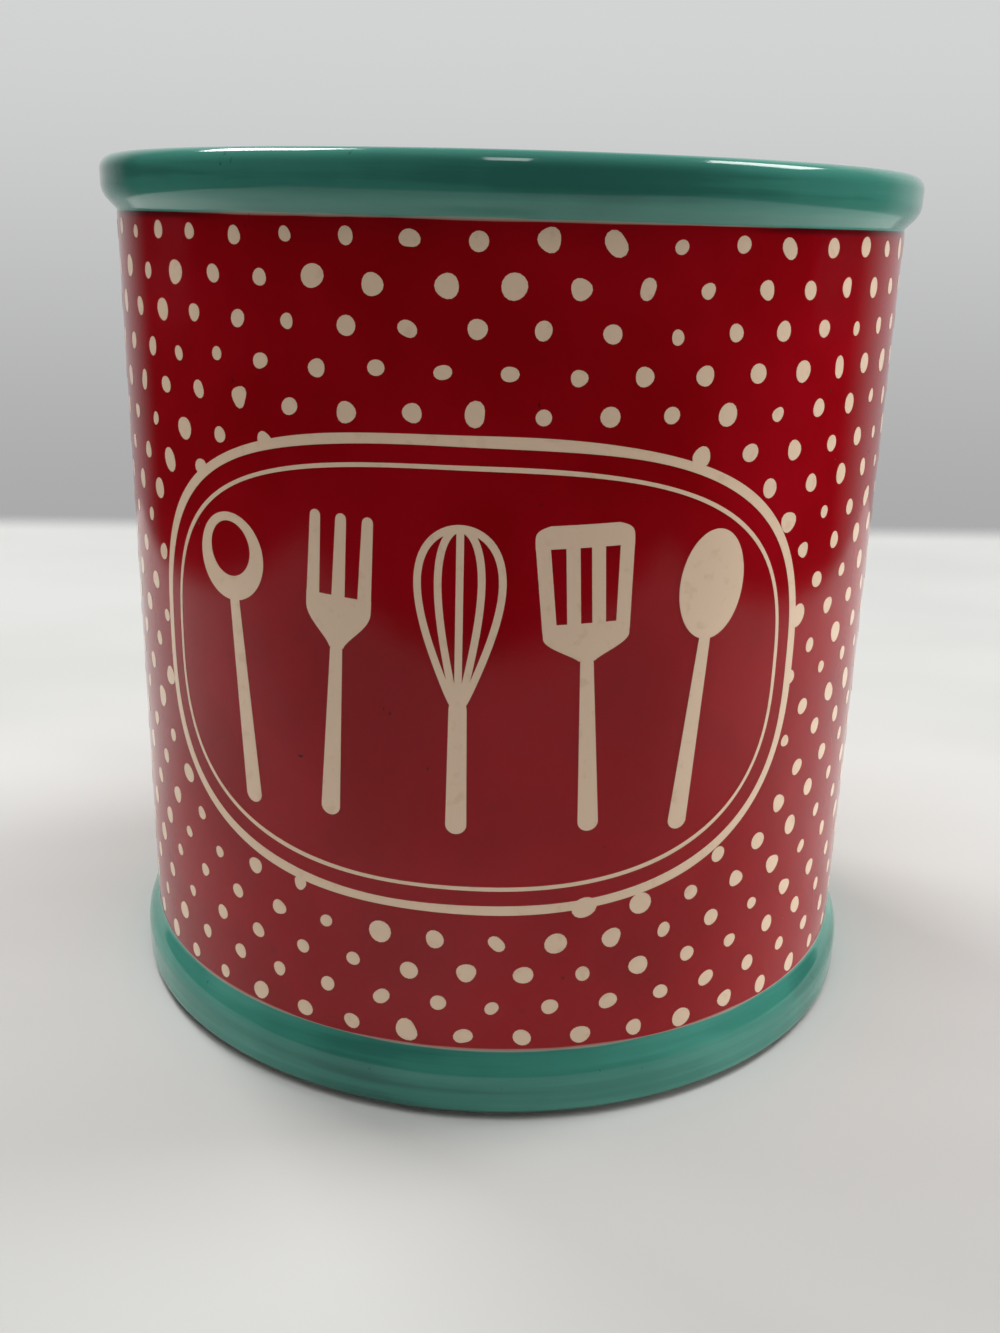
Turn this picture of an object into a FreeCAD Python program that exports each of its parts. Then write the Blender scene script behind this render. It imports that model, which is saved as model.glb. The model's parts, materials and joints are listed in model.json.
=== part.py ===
"""Glazed stoneware utensil crock: one fired clay body and the glaze coats fired on to it.

Millimetres, +Z up, origin on the table at the centre of the foot. Every piece is a section in the
half plane y = 0, x >= 0, turned about the Z axis. The section of the finished, glazed crock is drawn
once. The clay body is that section shrunk by the glaze thickness, with a bare ring added below it to
stand on. Each coat is a stretch of the skin that is left between the clay and the finished section.
"""

import FreeCAD
import Part
import math
import os

# Overall sizes, measured over the glaze
CROCK_HEIGHT = 166.6
BODY_DIAMETER = 154.0
WALL_THICKNESS = 5.6
FLOOR_THICKNESS = 7.0
FLOOR_FILLET = 8.0

# Rim band: a shoulder leans out of the wall to an upright face with a rounded edge, and a rounder
# lip leads inside
RIM_HEIGHT = 9.8
RIM_OVERHANG = 2.75
RIM_SHOULDER_SHARE = 0.51
RIM_BULGE_SHARE = 0.78
RIM_COVE_SHARE = 0.13
RIM_EDGE_ROUND = 2.6
LIP_ROUND = 3.8

# Foot flange: a wider shoulder upside down, above an upright face with a rounded lower edge
FOOT_HEIGHT = 13.5
FOOT_OVERHANG = 2.5
FOOT_FACE_SHARE = 0.53
FOOT_BULGE_SHARE = 0.76
FOOT_COVE_SHARE = 0.15
FOOT_LOWER_ROUND = 1.6

# Underside: a bare clay ring that the crock stands on, around a glazed recess
FOOT_LIFT = 1.0
RING_SETBACK = 1.2
RING_WIDTH = 7.0
RING_BEVEL = 0.3
RECESS_MARGIN = 2.0
RECESS_DEPTH = 3.4
RECESS_FILLET_SHARE = 0.5
RECESS_ROUND_SHARE = 0.3

# Glaze coats: their thickness, and how far the rim coat runs down the straight inside wall
GLAZE_THICKNESS = 0.4
RIM_GLAZE_RUN = 2.8

# Room by which the trimming faces pass the section
OVERRUN = 20.0

# Places that follow from the sizes above
BODY_RADIUS = BODY_DIAMETER / 2
INNER_RADIUS = BODY_RADIUS - WALL_THICKNESS
RIM_RADIUS = BODY_RADIUS + RIM_OVERHANG
FOOT_RADIUS = BODY_RADIUS + FOOT_OVERHANG
NECK_LEVEL = CROCK_HEIGHT - RIM_HEIGHT
RIM_FACE_BOTTOM = NECK_LEVEL + RIM_HEIGHT * RIM_SHOULDER_SHARE
LIP_LEVEL = CROCK_HEIGHT - LIP_ROUND
FOOT_FACE_TOP = FOOT_HEIGHT * FOOT_FACE_SHARE
FOOT_FLAT_RADIUS = FOOT_RADIUS - FOOT_LOWER_ROUND
RING_OUTER_RADIUS = FOOT_FLAT_RADIUS - RING_SETBACK
RING_INNER_RADIUS = RING_OUTER_RADIUS - RING_WIDTH
RECESS_RADIUS = RING_INNER_RADIUS - RECESS_MARGIN
RECESS_FILLET = RECESS_DEPTH * RECESS_FILLET_SHARE
RECESS_ROUND = RECESS_DEPTH * RECESS_ROUND_SHARE
RECESS_LEVEL = FOOT_LIFT + RECESS_DEPTH
FLOOR_LEVEL = RECESS_LEVEL + FLOOR_THICKNESS
RIM_GLAZE_END = LIP_LEVEL - RIM_GLAZE_RUN

# Lines inside the clay that part the coats of the outside, the inside and the underside
WALL_MIDDLE = (BODY_RADIUS + INNER_RADIUS) / 2
FLOOR_MIDDLE = (RECESS_LEVEL + FLOOR_LEVEL) / 2
RING_MIDDLE = (RING_OUTER_RADIUS + RING_INNER_RADIUS) / 2


def point(radius, height):
    """A point of the section."""
    return FreeCAD.Vector(radius, 0, height)


class Pen:
    """Draws the edges of a closed section one after another."""

    def __init__(self, start):
        self.start = start
        self.at = start
        self.edges = []

    def line_to(self, end):
        """Draw a straight edge."""
        self.edges.append(Part.LineSegment(self.at, end).toShape())
        self.at = end

    def arc_to(self, centre, end):
        """Draw the shorter round edge about a centre."""
        first = self.at - centre
        spoke = first + (end - centre)
        middle = centre + spoke.normalize() * first.Length
        self.edges.append(Part.Arc(self.at, middle, end).toShape())
        self.at = end

    def face(self):
        """Close the section and fill it."""
        self.line_to(self.start)
        return Part.Face(Part.Wire(self.edges))


class Shoulder:
    """The lean from the upright wall at a neck out to the widest point of the rim or the foot.

    A hollow cove leaves the wall, a convex bulge ends upright at the widest point, and a straight
    flank touches both. The radii are shares of the largest sum that still leaves a flank.
    """

    def __init__(self, neck, widest, bulge_share, cove_share):
        overhang = widest.x - neck.x
        rise = widest.z - neck.z
        largest = (rise * rise + overhang * overhang) / (2 * overhang)
        bulge = largest * bulge_share
        cove = largest * cove_share
        between = bulge + cove - overhang
        span = math.hypot(rise, between)
        lean = math.atan2(abs(rise), between) - math.acos((bulge + cove) / span)
        across = math.cos(lean)
        along = math.copysign(math.sin(lean), rise)
        self.neck = neck
        self.widest = widest
        self.cove_centre = neck + point(cove, 0)
        self.cove_end = self.cove_centre + point(-cove * across, cove * along)
        self.bulge_centre = widest - point(bulge, 0)
        self.bulge_end = self.bulge_centre + point(bulge * across, -bulge * along)

    def draw_out(self, pen):
        """Draw from the neck to the widest point."""
        pen.line_to(self.neck)
        pen.arc_to(self.cove_centre, self.cove_end)
        pen.line_to(self.bulge_end)
        pen.arc_to(self.bulge_centre, self.widest)

    def draw_in(self, pen):
        """Draw from the widest point to the neck."""
        pen.line_to(self.widest)
        pen.arc_to(self.bulge_centre, self.bulge_end)
        pen.line_to(self.cove_end)
        pen.arc_to(self.cove_centre, self.neck)


def draw_underside(pen):
    """Recess ceiling, recess wall and the flat of the foot, out to the foot's upright face."""
    ceiling_end = point(RECESS_RADIUS - RECESS_FILLET, RECESS_LEVEL)
    pen.line_to(ceiling_end)
    pen.arc_to(ceiling_end - point(0, RECESS_FILLET), point(RECESS_RADIUS, RECESS_LEVEL - RECESS_FILLET))
    pen.line_to(point(RECESS_RADIUS, FOOT_LIFT + RECESS_ROUND))
    flat_start = point(RECESS_RADIUS + RECESS_ROUND, FOOT_LIFT)
    pen.arc_to(flat_start + point(0, RECESS_ROUND), flat_start)
    flat_end = point(FOOT_FLAT_RADIUS, FOOT_LIFT)
    pen.line_to(flat_end)
    pen.arc_to(flat_end + point(0, FOOT_LOWER_ROUND), point(FOOT_RADIUS, FOOT_LIFT + FOOT_LOWER_ROUND))


def draw_outside(pen):
    """Foot face and shoulder, straight wall, rim shoulder, face and edge."""
    foot_neck = point(BODY_RADIUS, FOOT_HEIGHT)
    foot_widest = point(FOOT_RADIUS, FOOT_FACE_TOP)
    Shoulder(foot_neck, foot_widest, FOOT_BULGE_SHARE, FOOT_COVE_SHARE).draw_in(pen)
    rim_neck = point(BODY_RADIUS, NECK_LEVEL)
    rim_widest = point(RIM_RADIUS, RIM_FACE_BOTTOM)
    Shoulder(rim_neck, rim_widest, RIM_BULGE_SHARE, RIM_COVE_SHARE).draw_out(pen)
    edge_centre = point(RIM_RADIUS - RIM_EDGE_ROUND, CROCK_HEIGHT - RIM_EDGE_ROUND)
    pen.line_to(edge_centre + point(RIM_EDGE_ROUND, 0))
    pen.arc_to(edge_centre, edge_centre + point(0, RIM_EDGE_ROUND))


def draw_inside(pen):
    """Top of the rim, round lip, straight inside wall, fillet and floor."""
    lip_centre = point(INNER_RADIUS + LIP_ROUND, LIP_LEVEL)
    pen.line_to(lip_centre + point(0, LIP_ROUND))
    pen.arc_to(lip_centre, point(INNER_RADIUS, LIP_LEVEL))
    pen.line_to(point(INNER_RADIUS, FLOOR_LEVEL + FLOOR_FILLET))
    floor_end = point(INNER_RADIUS - FLOOR_FILLET, FLOOR_LEVEL)
    pen.arc_to(floor_end + point(0, FLOOR_FILLET), floor_end)


def glazed_section():
    """The finished section, run past the axis so that shrinking it leaves the axis alone."""
    pen = Pen(point(-OVERRUN, RECESS_LEVEL))
    draw_underside(pen)
    draw_outside(pen)
    draw_inside(pen)
    pen.line_to(point(-OVERRUN, FLOOR_LEVEL))
    return pen.face()


def bare_ring_section():
    """The unglazed ring below the foot, bevelled at the table and run up into the clay."""
    pen = Pen(point(RING_INNER_RADIUS, RECESS_LEVEL))
    pen.line_to(point(RING_INNER_RADIUS, RING_BEVEL))
    pen.line_to(point(RING_INNER_RADIUS + RING_BEVEL, 0))
    pen.line_to(point(RING_OUTER_RADIUS - RING_BEVEL, 0))
    pen.line_to(point(RING_OUTER_RADIUS, RING_BEVEL))
    pen.line_to(point(RING_OUTER_RADIUS, RECESS_LEVEL))
    return pen.face()


def zone(inner_radius, low, outer_radius, high):
    """A rectangle of the section plane."""
    pen = Pen(point(inner_radius, low))
    pen.line_to(point(outer_radius, low))
    pen.line_to(point(outer_radius, high))
    pen.line_to(point(inner_radius, high))
    return pen.face()


def turned(section):
    """The solid that a section sweeps in one turn about the Z axis."""
    faces = section.removeSplitter().Faces
    if len(faces) != 1:
        raise ValueError("a section must be one face, not %d" % len(faces))
    return faces[0].revolve(point(0, 0), point(0, 1), 360)


def build():
    """Every piece of the crock by its node name."""
    top = CROCK_HEIGHT + OVERRUN
    outside = max(RIM_RADIUS, FOOT_RADIUS) + OVERRUN
    whole = glazed_section()
    half = zone(0, -OVERRUN, outside, top)
    clay = whole.makeOffset2D(-GLAZE_THICKNESS).fuse(bare_ring_section()).common(half)
    skin = whole.common(half).cut(clay)
    rim_outside = zone(WALL_MIDDLE, NECK_LEVEL, outside, top)
    rim_inside = zone(0, RIM_GLAZE_END, WALL_MIDDLE, top)
    zones = {
        "rim_glaze": rim_outside.fuse(rim_inside),
        "wall_glaze": zone(WALL_MIDDLE, FOOT_HEIGHT, outside, NECK_LEVEL),
        "foot_glaze": zone(RING_MIDDLE, -OVERRUN, outside, FOOT_HEIGHT),
        "liner_glaze": zone(0, FLOOR_MIDDLE, WALL_MIDDLE, RIM_GLAZE_END),
        "base_glaze": zone(0, -OVERRUN, RING_MIDDLE, FLOOR_MIDDLE),
    }
    pieces = {"stoneware_body": turned(clay)}
    for name, area in zones.items():
        pieces[name] = turned(skin.common(area))
    return pieces


os.makedirs("parts", exist_ok=True)
for node, piece in build().items():
    piece.exportStep("parts/%s.step" % node)
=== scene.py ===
"""Looks of a glazed utensil crock: its glaze coats, painted dots and painted front, on a pale table."""

import json
import logging
import math
from dataclasses import dataclass, field
from enum import Enum
from typing import Optional, Sequence, Union

import bmesh
import bpy
import numpy as np
from mathutils import Matrix, Vector


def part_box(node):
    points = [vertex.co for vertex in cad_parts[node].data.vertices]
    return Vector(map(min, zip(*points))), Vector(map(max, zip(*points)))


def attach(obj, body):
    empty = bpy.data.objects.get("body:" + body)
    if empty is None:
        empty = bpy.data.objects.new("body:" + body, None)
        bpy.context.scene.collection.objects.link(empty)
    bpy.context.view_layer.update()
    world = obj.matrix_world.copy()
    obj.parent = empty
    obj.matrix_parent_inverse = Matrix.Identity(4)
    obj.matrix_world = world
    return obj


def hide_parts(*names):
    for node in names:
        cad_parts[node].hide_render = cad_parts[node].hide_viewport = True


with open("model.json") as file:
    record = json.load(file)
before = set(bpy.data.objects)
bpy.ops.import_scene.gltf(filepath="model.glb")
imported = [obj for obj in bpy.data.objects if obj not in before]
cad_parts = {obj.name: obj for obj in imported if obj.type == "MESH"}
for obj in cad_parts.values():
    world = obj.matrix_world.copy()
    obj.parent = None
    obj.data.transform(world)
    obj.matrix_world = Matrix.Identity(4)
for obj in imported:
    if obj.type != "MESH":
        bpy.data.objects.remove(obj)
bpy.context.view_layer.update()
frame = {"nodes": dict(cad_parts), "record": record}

LOG = logging.getLogger("utensil_crock")
MM = 0.001
FULL_TURN = 2 * math.pi
PHOTO_LONG_SIDE = 1333
SENSOR_LONG_SIDE = 36.0
BAKE_MAP = "OFBake"
WELD_DISTANCE = 1e-7

# Socket numbers of a Mix node that blends colours
MIX_SHARE, MIX_FIRST, MIX_SECOND = 0, 6, 7
MIX_COLOUR = 2

Array = np.ndarray
Colour = tuple[float, float, float]
Span = tuple[float, float]
Place = Sequence[float]
Number = Union[int, float]
Operand = Union["Value", Number]


class Slot(Enum):
    """Material slots of the record."""

    CLAY = "bare_clay"
    RED = "red_glaze"
    TEAL = "teal_glaze"
    CREAM = "cream_glaze"


# Shader maths


class Value:
    """A shader socket that takes part in arithmetic: each operator adds one Math node."""

    def __init__(self, tree: "ShaderTree", socket: bpy.types.NodeSocket) -> None:
        """Keep the socket and the tree that it belongs to."""
        self.tree = tree
        self.socket = socket

    def maths(self, operation: str, *others: Operand) -> "Value":
        """Add a Math node whose first input is this socket and whose other inputs are the others."""
        inputs = dict(enumerate((self, *others)))
        return self.tree.node("ShaderNodeMath", {"operation": operation}, inputs)

    def __add__(self, other: Operand) -> "Value":
        """Sum."""
        return self.maths("ADD", other)

    def __sub__(self, other: Operand) -> "Value":
        """Difference."""
        return self.maths("SUBTRACT", other)

    def __rsub__(self, other: Operand) -> "Value":
        """Difference from a number on the left."""
        return self.tree.node("ShaderNodeMath", {"operation": "SUBTRACT"}, {0: other, 1: self})

    def __mul__(self, other: Operand) -> "Value":
        """Product."""
        return self.maths("MULTIPLY", other)

    __radd__ = __add__
    __rmul__ = __mul__

    def step(self, low: Operand, high: Operand) -> "Value":
        """Smooth step from 0 at low to 1 at high."""
        inputs = {"Value": self, "From Min": low, "From Max": high}
        return self.tree.node("ShaderNodeMapRange", {"interpolation_type": "SMOOTHSTEP"}, inputs)

    def fade(self, reach: Operand, span: Span) -> "Value":
        """Smooth fall from 1 to 0 that starts and ends at the span's two shares of a reach."""
        return 1 - self.step(span[0] * reach, span[1] * reach)


Input = Union[Value, Number, Sequence[float]]
Inputs = dict[Union[int, str], Input]


class ShaderTree:
    """A node tree, filled through one method."""

    def __init__(self, tree: bpy.types.NodeTree) -> None:
        """Empty the tree."""
        self.tree = tree
        self.tree.nodes.clear()

    def node(
        self,
        kind: str,
        settings: Optional[dict[str, object]] = None,
        inputs: Optional[Inputs] = None,
        output: Union[int, str] = 0,
    ) -> Value:
        """Add a node.

        Args:
            kind: The node's type.
            settings: Its properties, set before its sockets.
            inputs: Values or links of its sockets, by index or name.
            output: The output socket to hand back.

        Returns:
            That output socket.
        """
        made = self.tree.nodes.new(kind)
        for name, setting in (settings or {}).items():
            setattr(made, name, setting)
        for name, value in (inputs or {}).items():
            if isinstance(value, Value):
                self.tree.links.new(value.socket, made.inputs[name])
            else:
                made.inputs[name].default_value = value
        return Value(self, made.outputs[output] if len(made.outputs) else None)

    def place(self) -> Value:
        """Object coordinates."""
        return self.node("ShaderNodeTexCoord", output="Object")

    def axis(self, name: str) -> Value:
        """X, Y or Z of the object coordinates."""
        return self.node("ShaderNodeSeparateXYZ", inputs={0: self.place()}, output=name)

    def noise(
        self, scale: Number, stretch: Place = (1, 1, 1), detail: Number = 3, shift: Place = (0, 0, 0)
    ) -> Value:
        """Cloudy noise on the object coordinates.

        Args:
            scale: Cells per metre.
            stretch: Factors on X, Y and Z before the noise is read.
            detail: Number of finer layers.
            shift: Metres on X, Y and Z by which the noise is moved.

        Returns:
            Noise about 0.5.
        """
        mapping = {"Vector": self.place(), "Location": shift, "Scale": stretch}
        moved = self.node("ShaderNodeMapping", inputs=mapping)
        inputs = {"Vector": moved, "Scale": scale, "Detail": detail}
        return self.node("ShaderNodeTexNoise", inputs=inputs)

    def mix(self, share: Operand, first: Input, second: Input) -> Value:
        """Blend two colours or sockets: the first at a share of 0, the second at 1."""
        inputs = {MIX_SHARE: share, MIX_FIRST: opaque(first), MIX_SECOND: opaque(second)}
        return self.node("ShaderNodeMix", {"data_type": "RGBA"}, inputs, output=MIX_COLOUR)

    def ripple(self, height: Value, depth: float) -> Value:
        """A Bump node that turns a height pattern of a depth in metres into a normal."""
        inputs = {"Height": height, "Distance": depth, "Strength": 1.0}
        return self.node("ShaderNodeBump", inputs=inputs)


def opaque(colour: Input) -> Input:
    """A colour with full alpha, or the socket as it is."""
    return colour if isinstance(colour, Value) else (*colour, 1.0)


# Finishes


@dataclass(frozen=True)
class Finish:
    """A surface finish; each kind fills in its own nodes."""

    name: str

    def surface(self, tree: ShaderTree) -> Inputs:
        """Inputs of the finish's Principled shader."""
        raise NotImplementedError

    def material(self) -> bpy.types.Material:
        """Make the material.

        Returns:
            A material whose surface is one Principled shader.
        """
        material = bpy.data.materials.new(self.name)
        material.use_nodes = True
        tree = ShaderTree(material.node_tree)
        shader = tree.node("ShaderNodeBsdfPrincipled", inputs=self.surface(tree))
        tree.node("ShaderNodeOutputMaterial", inputs={"Surface": shader})
        return material


@dataclass(frozen=True)
class EdgedGlaze(Finish):
    """Gloss glaze with pinholes and a broken pale line where it meets its neighbour.

    The line shows where the glaze is thin: near the front and the back, at more than a distance from
    the plane across the crock's middle, and not at the sides.
    """

    thick_within: float = 58 * MM
    thin_beyond: float = 69 * MM
    edge_line: float = 0.35 * MM
    narrow_share: float = 0.2
    patch_scale: float = 50
    patch_span: Span = (0.34, 0.62)
    pit_scale: float = 900
    pit_span: Span = (0.83, 0.86)
    group_scale: float = 70
    group_span: Span = (0.5, 0.62)
    ripple_depth: float = 0.012 * MM

    def reach(self, tree: ShaderTree) -> Value:
        """Height of the pale line: all of it in patches, a narrow share between them."""
        patches = tree.noise(self.patch_scale, detail=2).step(*self.patch_span)
        return self.edge_line * (self.narrow_share + (1 - self.narrow_share) * patches)

    def thinness(self, tree: ShaderTree) -> Value:
        """1 where the edge is thin, 0 where it is thick."""
        return tree.axis("Y").maths("ABSOLUTE").step(self.thick_within, self.thin_beyond)

    def pinholes(self, tree: ShaderTree) -> Value:
        """Sparse pinholes, in loose groups."""
        pits = tree.noise(self.pit_scale, detail=0).step(*self.pit_span)
        return pits * tree.noise(self.group_scale, detail=0).step(*self.group_span)


@dataclass(frozen=True)
class RedGlaze(EdgedGlaze):
    """Deep red gloss glaze, bared along its edges, with a painted shadow line under the sides of the rim.
    """

    low_edge: float = 0.0
    high_edge: float = 1.0
    deep: Colour = (0.285, 0.0014, 0.0050)
    bright: Colour = (0.340, 0.0024, 0.0080)
    thin: Colour = (0.60, 0.36, 0.29)
    # painted shadow: the dark red of the shade under the rim
    rim_shadow_red: Colour = (0.085, 0.002, 0.004)
    speck: Colour = (0.05, 0.001, 0.002)
    cloud_scale: float = 38
    cloud_span: Span = (0.35, 0.65)
    # painted shadow under the rim: its height below the neck, its span and its share
    rim_shadow_line: float = 1.3 * MM
    pool_and_shadow_span: Span = (0.25, 1.0)
    rim_shadow_share: float = 0.85
    low_span: Span = (0.55, 1.1)
    low_share: float = 0.55
    high_span: Span = (0.3, 0.8)
    high_share: float = 0.75
    pit_share: float = 0.8
    pit_depth: float = 0.4
    roughness: float = 0.07
    cloud_roughness: float = 0.06
    pit_roughness: float = 0.3
    gloss: float = 0.29
    ripple_scale: float = 160

    def surface(self, tree: ShaderTree) -> Inputs:
        """Cloudy red, the pale lines, a painted shadow line, sparse pinholes and a faint ripple.

        Args:
            tree: The material's tree.

        Returns:
            Inputs of the Principled shader.
        """
        above, below = tree.axis("Z") - self.low_edge, self.high_edge - tree.axis("Z")
        cloud, thinness, pits = tree.noise(self.cloud_scale), self.thinness(tree), self.pinholes(tree)
        red = tree.mix(cloud.step(*self.cloud_span), self.deep, self.bright)
        # painted shadow: the red darkens in a line under the rim at the sides, where the rim's shadow
        # falls
        pool_and_shadow = below.fade(self.rim_shadow_line, self.pool_and_shadow_span) * (1 - thinness) * self.rim_shadow_share
        reach = self.reach(tree)
        low = above.fade(reach, self.low_span) * self.low_share
        high = below.fade(reach, self.high_span) * thinness * self.high_share
        edged = tree.mix(low.maths("MAXIMUM", high), tree.mix(pool_and_shadow, red, self.rim_shadow_red), self.thin)
        height = tree.noise(self.ripple_scale, detail=1) - pits * self.pit_depth
        return {
            "Base Color": tree.mix(pits * self.pit_share, edged, self.speck),
            "Roughness": self.roughness + cloud * self.cloud_roughness + pits * self.pit_roughness,
            "Specular IOR Level": self.gloss,
            "Normal": tree.ripple(height, self.ripple_depth),
        }


@dataclass(frozen=True)
class TealGlaze(EdgedGlaze):
    """Teal gloss glaze, brushed on round the crock and bared where it meets the red.

    A greater thickness makes it darker. Painted shade darkens the lower edge of a coat that has one
    above the table. Painted light makes the glaze paler over a crest and, by a share, above the edge
    that it meets the red at.
    """

    edge: float = 0.0
    lower_edge: float = -1.0
    crest: float = 1.0
    thickness: float = 0.0
    pool_and_shadow: Colour = (0.028, 0.152, 0.119)
    coat: Colour = (0.047, 0.231, 0.181)
    thin: Colour = (0.074, 0.295, 0.234)
    bared: Colour = (0.56, 0.43, 0.35)
    # colour of the painted shade along the lower edge, and of the pinholes
    shade_and_pinhole_dark: Colour = (0.008, 0.040, 0.032)
    # paler teal of the painted light over the crest and above the neck
    painted_light_teal: Colour = (0.125, 0.400, 0.325)
    cloud_scale: float = 30
    cloud_shift: float = 0.0
    streak_stretch: Place = (16, 16, 420)
    streak_share: float = 0.45
    pool_and_shadow_span: Span = (0.34, 0.5)
    thin_span: Span = (0.5, 0.66)
    # painted light over the crest and above the neck: heights, span and shares
    crest_light_line: float = 2.4 * MM
    crest_light_share: float = 0.4
    neck_light_line: float = 5.0 * MM
    neck_light_span: Span = (0.3, 1.0)
    neck_light_share: float = 0.0
    edge_line: float = 0.45 * MM
    narrow_share: float = 0.35
    line_span: Span = (0.45, 1.0)
    line_share: float = 0.8
    # painted shade along the lower edge: its height, span and share
    edge_shade_line: float = 1.5 * MM
    edge_shade_span: Span = (0.4, 1.0)
    edge_shade_share: float = 0.9
    pit_share: float = 0.4
    roughness: float = 0.06
    cloud_roughness: float = 0.05
    gloss: float = 0.42
    ripple_scale: float = 140

    def surface(self, tree: ShaderTree) -> Inputs:
        """Level brush streaks over broad clouds, the pale line, painted shade, pinholes and a slight
        ripple.

        Args:
            tree: The material's tree.

        Returns:
            Inputs of the Principled shader.
        """
        height, pits = tree.axis("Z"), self.pinholes(tree)
        above = height - self.edge
        cloud = tree.noise(self.cloud_scale, shift=(0, 0, self.cloud_shift))
        streaks = tree.noise(1, self.streak_stretch)
        depth = streaks * self.streak_share + cloud * (1 - self.streak_share) - self.thickness
        colour = tree.mix(depth.step(*self.pool_and_shadow_span), self.pool_and_shadow, self.coat)
        colour = tree.mix(depth.step(*self.thin_span), colour, self.thin)
        # painted light: paler over the crest, lit from above, and above the neck, lit from the table
        # below
        crest = (height - self.crest).step(-self.crest_light_line, 0) * self.crest_light_share
        neck = above.fade(self.neck_light_line, self.neck_light_span) * self.neck_light_share
        colour = tree.mix(crest.maths("MAXIMUM", neck), colour, self.painted_light_teal)
        # painted shade: the coat darkens along its lower edge, which faces the shaded table
        edge_shade = (height - self.lower_edge).fade(self.edge_shade_line, self.edge_shade_span) * self.edge_shade_share
        marked = tree.mix(edge_shade.maths("MAXIMUM", pits * self.pit_share), colour, self.shade_and_pinhole_dark)
        line = above.maths("ABSOLUTE").fade(self.reach(tree), self.line_span) * self.thinness(tree)
        return {
            "Base Color": tree.mix(line * self.line_share, marked, self.bared),
            "Roughness": self.roughness + cloud * self.cloud_roughness,
            "Specular IOR Level": self.gloss,
            "Normal": tree.ripple(tree.noise(self.ripple_scale, detail=1), self.ripple_depth),
        }


@dataclass(frozen=True)
class CreamPaint(Finish):
    """Cream paint of the dots and the front, a little uneven from the brush."""

    thick: Colour = (0.860, 0.648, 0.476)
    thin: Colour = (0.765, 0.540, 0.370)
    cloud_scale: float = 420
    thin_span: Span = (0.56, 0.74)
    thin_share: float = 0.6
    roughness: float = 0.1
    cloud_roughness: float = 0.08
    gloss: float = 0.3

    def surface(self, tree: ShaderTree) -> Inputs:
        """Cream that thins in small clouds, under the same gloss as the glaze.

        Args:
            tree: The material's tree.

        Returns:
            Inputs of the Principled shader.
        """
        cloud = tree.noise(self.cloud_scale)
        thinned = cloud.step(*self.thin_span) * self.thin_share
        return {
            "Base Color": tree.mix(thinned, self.thick, self.thin),
            "Roughness": self.roughness + cloud * self.cloud_roughness,
            "Specular IOR Level": self.gloss,
        }


@dataclass(frozen=True)
class CreamGlaze(Finish):
    """Cream gloss glaze of the inside and the underside, with fine iron specks."""

    coat: Colour = (0.700, 0.635, 0.500)
    pool_and_shadow: Colour = (0.620, 0.540, 0.390)
    speck: Colour = (0.210, 0.130, 0.070)
    cloud_scale: float = 24
    ring_stretch: Place = (9, 9, 420)
    ring_share: float = 0.4
    ring_depth: float = 0.03 * MM
    pool_and_shadow_span: Span = (0.42, 0.66)
    speck_scale: float = 650
    speck_span: Span = (0.79, 0.83)
    speck_share: float = 0.7
    roughness: float = 0.09
    cloud_roughness: float = 0.08

    def surface(self, tree: ShaderTree) -> Inputs:
        """Broad clouds, level throwing lines and sparse specks.

        Args:
            tree: The material's tree.

        Returns:
            Inputs of the Principled shader.
        """
        cloud, rings = tree.noise(self.cloud_scale), tree.noise(1, self.ring_stretch, 2)
        specks = tree.noise(self.speck_scale, detail=0).step(*self.speck_span) * self.speck_share
        depth = cloud * (1 - self.ring_share) + rings * self.ring_share
        cream = tree.mix(depth.step(*self.pool_and_shadow_span), self.coat, self.pool_and_shadow)
        return {
            "Base Color": tree.mix(specks, cream, self.speck),
            "Roughness": self.roughness + cloud * self.cloud_roughness,
            "Normal": tree.ripple(rings, self.ring_depth),
        }


@dataclass(frozen=True)
class BareClay(Finish):
    """Unglazed fired clay of the ring that the crock stands on."""

    clay: Colour = (0.720, 0.630, 0.500)
    rubbed: Colour = (0.560, 0.470, 0.350)
    grain_scale: float = 1600
    grain_share: float = 0.5
    grain_depth: float = 0.08 * MM
    patch_scale: float = 60
    rub_span: Span = (0.42, 0.62)
    roughness: float = 0.78
    grain_roughness: float = 0.15

    def surface(self, tree: ShaderTree) -> Inputs:
        """Grainy buff clay, rubbed darker in patches by use.

        Args:
            tree: The material's tree.

        Returns:
            Inputs of the Principled shader.
        """
        grain, patch = tree.noise(self.grain_scale, detail=4), tree.noise(self.patch_scale)
        wear = grain * self.grain_share + patch * (1 - self.grain_share)
        return {
            "Base Color": tree.mix(wear.step(*self.rub_span), self.clay, self.rubbed),
            "Roughness": self.roughness + grain * self.grain_roughness,
            "Normal": tree.ripple(grain, self.grain_depth),
        }


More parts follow.
